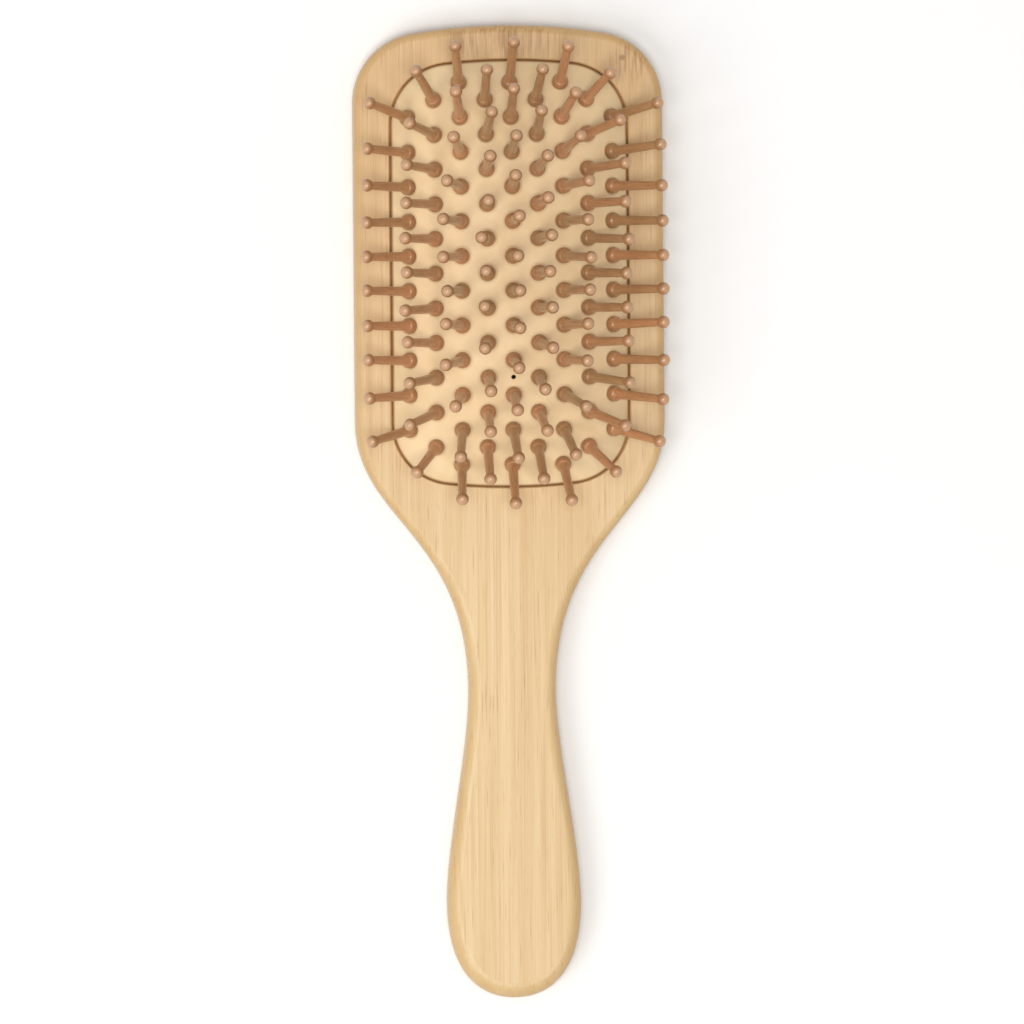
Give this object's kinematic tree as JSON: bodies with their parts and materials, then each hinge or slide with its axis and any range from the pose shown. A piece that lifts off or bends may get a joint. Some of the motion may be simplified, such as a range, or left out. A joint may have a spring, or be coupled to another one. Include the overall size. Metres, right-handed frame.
{
  "type": "paddle brush",
  "caption": "Flat wooden paddle hairbrush with a rectangular head, a swelling handle, a domed rubber air cushion and splayed ball-tipped wooden pins.",
  "frame": {"origin": "middle of the flat back face, half way along the brush's length", "axes": "+Y along the brush from the handle to the head; +Z out of the pin side, square to the board; +X across the brush, to the right when the pins face the viewer and the head is up"},
  "size_m": [0.0794, 0.25, 0.0446],
  "materials": {
    "bamboo": "satin oiled bamboo, fine lengthwise grain",
    "cushion_rubber": "matte smooth tan rubber",
    "pin_wood": "semi-gloss amber brown turned wood"
  },
  "bodies": {
    "paddle": {"board": "bamboo"},
    "cushion": {"cushion": "cushion_rubber"},
    "c2_r0_pin": {"pin_c2_r0": "pin_wood"},
    "c4_r0_pin": {"pin_c4_r0": "pin_wood"},
    "c6_r0_pin": {"pin_c6_r0": "pin_wood"},
    "c8_r0_pin": {"pin_c8_r0": "pin_wood"},
    "c1_r1_pins": {"pins_c1_r1": "pin_wood"},
    "c1_r2_pins": {"pins_c1_r2": "pin_wood"},
    "c1_r3_pins": {"pins_c1_r3": "pin_wood"},
    "c1_r4_pins": {"pins_c1_r4": "pin_wood"},
    "c1_r5_pins": {"pins_c1_r5": "pin_wood"},
    "c2_r1_pins": {"pins_c2_r1": "pin_wood"},
    "c2_r2_pins": {"pins_c2_r2": "pin_wood"},
    "c2_r3_pins": {"pins_c2_r3": "pin_wood"},
    "c2_r4_pins": {"pins_c2_r4": "pin_wood"},
    "c2_r5_pins": {"pins_c2_r5": "pin_wood"},
    "c3_r1_pins": {"pins_c3_r1": "pin_wood"},
    "c3_r2_pins": {"pins_c3_r2": "pin_wood"},
    "c3_r3_pins": {"pins_c3_r3": "pin_wood"},
    "c3_r4_pins": {"pins_c3_r4": "pin_wood"},
    "c3_r5_pins": {"pins_c3_r5": "pin_wood"},
    "c3_r6_pins": {"pins_c3_r6": "pin_wood"},
    "c4_r1_pins": {"pins_c4_r1": "pin_wood"},
    "c4_r2_pins": {"pins_c4_r2": "pin_wood"},
    "c4_r3_pins": {"pins_c4_r3": "pin_wood"},
    "c4_r4_pins": {"pins_c4_r4": "pin_wood"},
    "c4_r5_pins": {"pins_c4_r5": "pin_wood"},
    "c5_r1_pins": {"pins_c5_r1": "pin_wood"},
    "c5_r2_pins": {"pins_c5_r2": "pin_wood"},
    "c5_r3_pins": {"pins_c5_r3": "pin_wood"},
    "c5_r4_pins": {"pins_c5_r4": "pin_wood"},
    "c5_r5_pins": {"pins_c5_r5": "pin_wood"},
    "c5_r6_pins": {"pins_c5_r6": "pin_wood"},
    "c6_r1_pins": {"pins_c6_r1": "pin_wood"},
    "c6_r2_pins": {"pins_c6_r2": "pin_wood"},
    "c6_r3_pins": {"pins_c6_r3": "pin_wood"},
    "c6_r4_pins": {"pins_c6_r4": "pin_wood"},
    "c6_r5_pins": {"pins_c6_r5": "pin_wood"},
    "c7_r1_pins": {"pins_c7_r1": "pin_wood"},
    "c7_r2_pins": {"pins_c7_r2": "pin_wood"},
    "c7_r3_pins": {"pins_c7_r3": "pin_wood"},
    "c7_r4_pins": {"pins_c7_r4": "pin_wood"},
    "c7_r5_pins": {"pins_c7_r5": "pin_wood"},
    "c7_r6_pins": {"pins_c7_r6": "pin_wood"},
    "c8_r1_pins": {"pins_c8_r1": "pin_wood"},
    "c8_r2_pins": {"pins_c8_r2": "pin_wood"},
    "c8_r3_pins": {"pins_c8_r3": "pin_wood"},
    "c8_r4_pins": {"pins_c8_r4": "pin_wood"},
    "c8_r5_pins": {"pins_c8_r5": "pin_wood"},
    "c9_r1_pins": {"pins_c9_r1": "pin_wood"},
    "c9_r2_pins": {"pins_c9_r2": "pin_wood"},
    "c9_r3_pins": {"pins_c9_r3": "pin_wood"},
    "c9_r4_pins": {"pins_c9_r4": "pin_wood"},
    "c9_r5_pins": {"pins_c9_r5": "pin_wood"}
  },
  "joints": [
    {"name": "cushion_press", "type": "slide", "parent": "paddle", "child": "cushion", "axis": [0, 0, 1], "range_m": [-0.0025, 0], "stiffness_N_per_m": 4000, "deforming": ["cushion"]},
    {"name": "c2_r0_rock", "type": "hinge", "parent": "cushion", "child": "c2_r0_pin", "pos_m": [-0.0191, 0.0613, 0.01832], "axis": [0, 1, 0], "range_deg": [-12, 12], "stiffness_Nm_per_rad": 0.05, "deforming": ["cushion"]},
    {"name": "c4_r0_rock", "type": "hinge", "parent": "cushion", "child": "c4_r0_pin", "pos_m": [-0.0064, 0.0613, 0.02201], "axis": [0, 1, 0], "range_deg": [-12, 12], "stiffness_Nm_per_rad": 0.05, "deforming": ["cushion"]},
    {"name": "c6_r0_rock", "type": "hinge", "parent": "cushion", "child": "c6_r0_pin", "pos_m": [0.0064, 0.0613, 0.02201], "axis": [0, 1, 0], "range_deg": [-12, 12], "stiffness_Nm_per_rad": 0.05, "deforming": ["cushion"]},
    {"name": "c8_r0_rock", "type": "hinge", "parent": "cushion", "child": "c8_r0_pin", "pos_m": [0.0191, 0.0613, 0.01832], "axis": [0, 1, 0], "range_deg": [-12, 12], "stiffness_Nm_per_rad": 0.05, "deforming": ["cushion"]},
    {"name": "c1_r1_rock", "type": "hinge", "parent": "cushion", "child": "c1_r1_pins", "pos_m": [-0.02546, 0.0613, 0.01435], "axis": [0, 1, 0], "range_deg": [-12, 12], "stiffness_Nm_per_rad": 0.05, "deforming": ["cushion"]},
    {"name": "c1_r2_rock", "type": "hinge", "parent": "cushion", "child": "c1_r2_pins", "pos_m": [-0.02546, 0.0613, 0.01434], "axis": [0, 1, 0], "range_deg": [-12, 12], "stiffness_Nm_per_rad": 0.05, "deforming": ["cushion"]},
    {"name": "c1_r3_rock", "type": "hinge", "parent": "cushion", "child": "c1_r3_pins", "pos_m": [-0.02546, 0.0613, 0.01429], "axis": [0, 1, 0], "range_deg": [-12, 12], "stiffness_Nm_per_rad": 0.05, "deforming": ["cushion"]},
    {"name": "c1_r4_rock", "type": "hinge", "parent": "cushion", "child": "c1_r4_pins", "pos_m": [-0.02547, 0.0613, 0.01396], "axis": [0, 1, 0], "range_deg": [-12, 12], "stiffness_Nm_per_rad": 0.05, "deforming": ["cushion"]},
    {"name": "c1_r5_rock", "type": "hinge", "parent": "cushion", "child": "c1_r5_pins", "pos_m": [-0.02551, 0.0613, 0.01285], "axis": [0, 1, 0], "range_deg": [-12, 12], "stiffness_Nm_per_rad": 0.05, "deforming": ["cushion"]},
    {"name": "c2_r1_rock", "type": "hinge", "parent": "cushion", "child": "c2_r1_pins", "pos_m": [-0.0191, 0.0613, 0.01832], "axis": [0, 1, 0], "range_deg": [-12, 12], "stiffness_Nm_per_rad": 0.05, "deforming": ["cushion"]},
    {"name": "c2_r2_rock", "type": "hinge", "parent": "cushion", "child": "c2_r2_pins", "pos_m": [-0.0191, 0.0613, 0.01829], "axis": [0, 1, 0], "range_deg": [-12, 12], "stiffness_Nm_per_rad": 0.05, "deforming": ["cushion"]},
    {"name": "c2_r3_rock", "type": "hinge", "parent": "cushion", "child": "c2_r3_pins", "pos_m": [-0.01911, 0.0613, 0.01804], "axis": [0, 1, 0], "range_deg": [-12, 12], "stiffness_Nm_per_rad": 0.05, "deforming": ["cushion"]},
    {"name": "c2_r4_rock", "type": "hinge", "parent": "cushion", "child": "c2_r4_pins", "pos_m": [-0.01916, 0.0613, 0.01707], "axis": [0, 1, 0], "range_deg": [-12, 12], "stiffness_Nm_per_rad": 0.05, "deforming": ["cushion"]},
    {"name": "c2_r5_rock", "type": "hinge", "parent": "cushion", "child": "c2_r5_pins", "pos_m": [-0.01925, 0.0613, 0.01468], "axis": [0, 1, 0], "range_deg": [-12, 12], "stiffness_Nm_per_rad": 0.05, "deforming": ["cushion"]},
    {"name": "c3_r1_rock", "type": "hinge", "parent": "cushion", "child": "c3_r1_pins", "pos_m": [-0.01275, 0.0613, 0.02079], "axis": [0, 1, 0], "range_deg": [-12, 12], "stiffness_Nm_per_rad": 0.05, "deforming": ["cushion"]},
    {"name": "c3_r2_rock", "type": "hinge", "parent": "cushion", "child": "c3_r2_pins", "pos_m": [-0.01276, 0.0613, 0.02078], "axis": [0, 1, 0], "range_deg": [-12, 12], "stiffness_Nm_per_rad": 0.05, "deforming": ["cushion"]},
    {"name": "c3_r3_rock", "type": "hinge", "parent": "cushion", "child": "c3_r3_pins", "pos_m": [-0.01277, 0.0613, 0.02059], "axis": [0, 1, 0], "range_deg": [-12, 12], "stiffness_Nm_per_rad": 0.05, "deforming": ["cushion"]},
    {"name": "c3_r4_rock", "type": "hinge", "parent": "cushion", "child": "c3_r4_pins", "pos_m": [-0.01283, 0.0613, 0.01971], "axis": [0, 1, 0], "range_deg": [-12, 12], "stiffness_Nm_per_rad": 0.05, "deforming": ["cushion"]},
    {"name": "c3_r5_rock", "type": "hinge", "parent": "cushion", "child": "c3_r5_pins", "pos_m": [-0.0129, 0.0613, 0.01758], "axis": [0, 1, 0], "range_deg": [-12, 12], "stiffness_Nm_per_rad": 0.05, "deforming": ["cushion"]},
    {"name": "c3_r6_rock", "type": "hinge", "parent": "cushion", "child": "c3_r6_pins", "pos_m": [-0.01294, 0.0613, 0.01383], "axis": [0, 1, 0], "range_deg": [-12, 12], "stiffness_Nm_per_rad": 0.05, "deforming": ["cushion"]},
    {"name": "c4_r1_rock", "type": "hinge", "parent": "cushion", "child": "c4_r1_pins", "pos_m": [-0.00641, 0.0613, 0.02201], "axis": [0, 1, 0], "range_deg": [-12, 12], "stiffness_Nm_per_rad": 0.05, "deforming": ["cushion"]},
    {"name": "c4_r2_rock", "type": "hinge", "parent": "cushion", "child": "c4_r2_pins", "pos_m": [-0.00643, 0.0613, 0.02184], "axis": [0, 1, 0], "range_deg": [-12, 12], "stiffness_Nm_per_rad": 0.05, "deforming": ["cushion"]},
    {"name": "c4_r3_rock", "type": "hinge", "parent": "cushion", "child": "c4_r3_pins", "pos_m": [-0.00647, 0.0613, 0.02106], "axis": [0, 1, 0], "range_deg": [-12, 12], "stiffness_Nm_per_rad": 0.05, "deforming": ["cushion"]},
    {"name": "c4_r4_rock", "type": "hinge", "parent": "cushion", "child": "c4_r4_pins", "pos_m": [-0.00648, 0.0613, 0.0193], "axis": [0, 1, 0], "range_deg": [-12, 12], "stiffness_Nm_per_rad": 0.05, "deforming": ["cushion"]},
    {"name": "c4_r5_rock", "type": "hinge", "parent": "cushion", "child": "c4_r5_pins", "pos_m": [-0.00649, 0.0613, 0.01622], "axis": [0, 1, 0], "range_deg": [-12, 12], "stiffness_Nm_per_rad": 0.05, "deforming": ["cushion"]},
    {"name": "c5_r1_rock", "type": "hinge", "parent": "cushion", "child": "c5_r1_pins", "pos_m": [0, 0.0613, 0.0223], "axis": [0, 1, 0], "range_deg": [-12, 12], "stiffness_Nm_per_rad": 0.05, "deforming": ["cushion"]},
    {"name": "c5_r2_rock", "type": "hinge", "parent": "cushion", "child": "c5_r2_pins", "pos_m": [0, 0.0613, 0.02217], "axis": [0, 1, 0], "range_deg": [-12, 12], "stiffness_Nm_per_rad": 0.05, "deforming": ["cushion"]},
    {"name": "c5_r3_rock", "type": "hinge", "parent": "cushion", "child": "c5_r3_pins", "pos_m": [0, 0.0613, 0.02164], "axis": [0, 1, 0], "range_deg": [-12, 12], "stiffness_Nm_per_rad": 0.05, "deforming": ["cushion"]},
    {"name": "c5_r4_rock", "type": "hinge", "parent": "cushion", "child": "c5_r4_pins", "pos_m": [0, 0.0613, 0.02036], "axis": [0, 1, 0], "range_deg": [-12, 12], "stiffness_Nm_per_rad": 0.05, "deforming": ["cushion"]},
    {"name": "c5_r5_rock", "type": "hinge", "parent": "cushion", "child": "c5_r5_pins", "pos_m": [0, 0.0613, 0.01797], "axis": [0, 1, 0], "range_deg": [-12, 12], "stiffness_Nm_per_rad": 0.05, "deforming": ["cushion"]},
    {"name": "c5_r6_rock", "type": "hinge", "parent": "cushion", "child": "c5_r6_pins", "pos_m": [0, 0.0613, 0.01408], "axis": [0, 1, 0], "range_deg": [-12, 12], "stiffness_Nm_per_rad": 0.05, "deforming": ["cushion"]},
    {"name": "c6_r1_rock", "type": "hinge", "parent": "cushion", "child": "c6_r1_pins", "pos_m": [0.00641, 0.0613, 0.02201], "axis": [0, 1, 0], "range_deg": [-12, 12], "stiffness_Nm_per_rad": 0.05, "deforming": ["cushion"]},
    {"name": "c6_r2_rock", "type": "hinge", "parent": "cushion", "child": "c6_r2_pins", "pos_m": [0.00643, 0.0613, 0.02184], "axis": [0, 1, 0], "range_deg": [-12, 12], "stiffness_Nm_per_rad": 0.05, "deforming": ["cushion"]},
    {"name": "c6_r3_rock", "type": "hinge", "parent": "cushion", "child": "c6_r3_pins", "pos_m": [0.00647, 0.0613, 0.02106], "axis": [0, 1, 0], "range_deg": [-12, 12], "stiffness_Nm_per_rad": 0.05, "deforming": ["cushion"]},
    {"name": "c6_r4_rock", "type": "hinge", "parent": "cushion", "child": "c6_r4_pins", "pos_m": [0.00648, 0.0613, 0.0193], "axis": [0, 1, 0], "range_deg": [-12, 12], "stiffness_Nm_per_rad": 0.05, "deforming": ["cushion"]},
    {"name": "c6_r5_rock", "type": "hinge", "parent": "cushion", "child": "c6_r5_pins", "pos_m": [0.00649, 0.0613, 0.01622], "axis": [0, 1, 0], "range_deg": [-12, 12], "stiffness_Nm_per_rad": 0.05, "deforming": ["cushion"]},
    {"name": "c7_r1_rock", "type": "hinge", "parent": "cushion", "child": "c7_r1_pins", "pos_m": [0.01275, 0.0613, 0.02079], "axis": [0, 1, 0], "range_deg": [-12, 12], "stiffness_Nm_per_rad": 0.05, "deforming": ["cushion"]},
    {"name": "c7_r2_rock", "type": "hinge", "parent": "cushion", "child": "c7_r2_pins", "pos_m": [0.01276, 0.0613, 0.02078], "axis": [0, 1, 0], "range_deg": [-12, 12], "stiffness_Nm_per_rad": 0.05, "deforming": ["cushion"]},
    {"name": "c7_r3_rock", "type": "hinge", "parent": "cushion", "child": "c7_r3_pins", "pos_m": [0.01277, 0.0613, 0.02059], "axis": [0, 1, 0], "range_deg": [-12, 12], "stiffness_Nm_per_rad": 0.05, "deforming": ["cushion"]},
    {"name": "c7_r4_rock", "type": "hinge", "parent": "cushion", "child": "c7_r4_pins", "pos_m": [0.01283, 0.0613, 0.01971], "axis": [0, 1, 0], "range_deg": [-12, 12], "stiffness_Nm_per_rad": 0.05, "deforming": ["cushion"]},
    {"name": "c7_r5_rock", "type": "hinge", "parent": "cushion", "child": "c7_r5_pins", "pos_m": [0.0129, 0.0613, 0.01758], "axis": [0, 1, 0], "range_deg": [-12, 12], "stiffness_Nm_per_rad": 0.05, "deforming": ["cushion"]},
    {"name": "c7_r6_rock", "type": "hinge", "parent": "cushion", "child": "c7_r6_pins", "pos_m": [0.01294, 0.0613, 0.01383], "axis": [0, 1, 0], "range_deg": [-12, 12], "stiffness_Nm_per_rad": 0.05, "deforming": ["cushion"]},
    {"name": "c8_r1_rock", "type": "hinge", "parent": "cushion", "child": "c8_r1_pins", "pos_m": [0.0191, 0.0613, 0.01832], "axis": [0, 1, 0], "range_deg": [-12, 12], "stiffness_Nm_per_rad": 0.05, "deforming": ["cushion"]},
    {"name": "c8_r2_rock", "type": "hinge", "parent": "cushion", "child": "c8_r2_pins", "pos_m": [0.0191, 0.0613, 0.01829], "axis": [0, 1, 0], "range_deg": [-12, 12], "stiffness_Nm_per_rad": 0.05, "deforming": ["cushion"]},
    {"name": "c8_r3_rock", "type": "hinge", "parent": "cushion", "child": "c8_r3_pins", "pos_m": [0.01911, 0.0613, 0.01804], "axis": [0, 1, 0], "range_deg": [-12, 12], "stiffness_Nm_per_rad": 0.05, "deforming": ["cushion"]},
    {"name": "c8_r4_rock", "type": "hinge", "parent": "cushion", "child": "c8_r4_pins", "pos_m": [0.01916, 0.0613, 0.01707], "axis": [0, 1, 0], "range_deg": [-12, 12], "stiffness_Nm_per_rad": 0.05, "deforming": ["cushion"]},
    {"name": "c8_r5_rock", "type": "hinge", "parent": "cushion", "child": "c8_r5_pins", "pos_m": [0.01925, 0.0613, 0.01468], "axis": [0, 1, 0], "range_deg": [-12, 12], "stiffness_Nm_per_rad": 0.05, "deforming": ["cushion"]},
    {"name": "c9_r1_rock", "type": "hinge", "parent": "cushion", "child": "c9_r1_pins", "pos_m": [0.02546, 0.0613, 0.01435], "axis": [0, 1, 0], "range_deg": [-12, 12], "stiffness_Nm_per_rad": 0.05, "deforming": ["cushion"]},
    {"name": "c9_r2_rock", "type": "hinge", "parent": "cushion", "child": "c9_r2_pins", "pos_m": [0.02546, 0.0613, 0.01434], "axis": [0, 1, 0], "range_deg": [-12, 12], "stiffness_Nm_per_rad": 0.05, "deforming": ["cushion"]},
    {"name": "c9_r3_rock", "type": "hinge", "parent": "cushion", "child": "c9_r3_pins", "pos_m": [0.02546, 0.0613, 0.01429], "axis": [0, 1, 0], "range_deg": [-12, 12], "stiffness_Nm_per_rad": 0.05, "deforming": ["cushion"]},
    {"name": "c9_r4_rock", "type": "hinge", "parent": "cushion", "child": "c9_r4_pins", "pos_m": [0.02547, 0.0613, 0.01396], "axis": [0, 1, 0], "range_deg": [-12, 12], "stiffness_Nm_per_rad": 0.05, "deforming": ["cushion"]},
    {"name": "c9_r5_rock", "type": "hinge", "parent": "cushion", "child": "c9_r5_pins", "pos_m": [0.02551, 0.0613, 0.01285], "axis": [0, 1, 0], "range_deg": [-12, 12], "stiffness_Nm_per_rad": 0.05, "deforming": ["cushion"]}
  ]
}
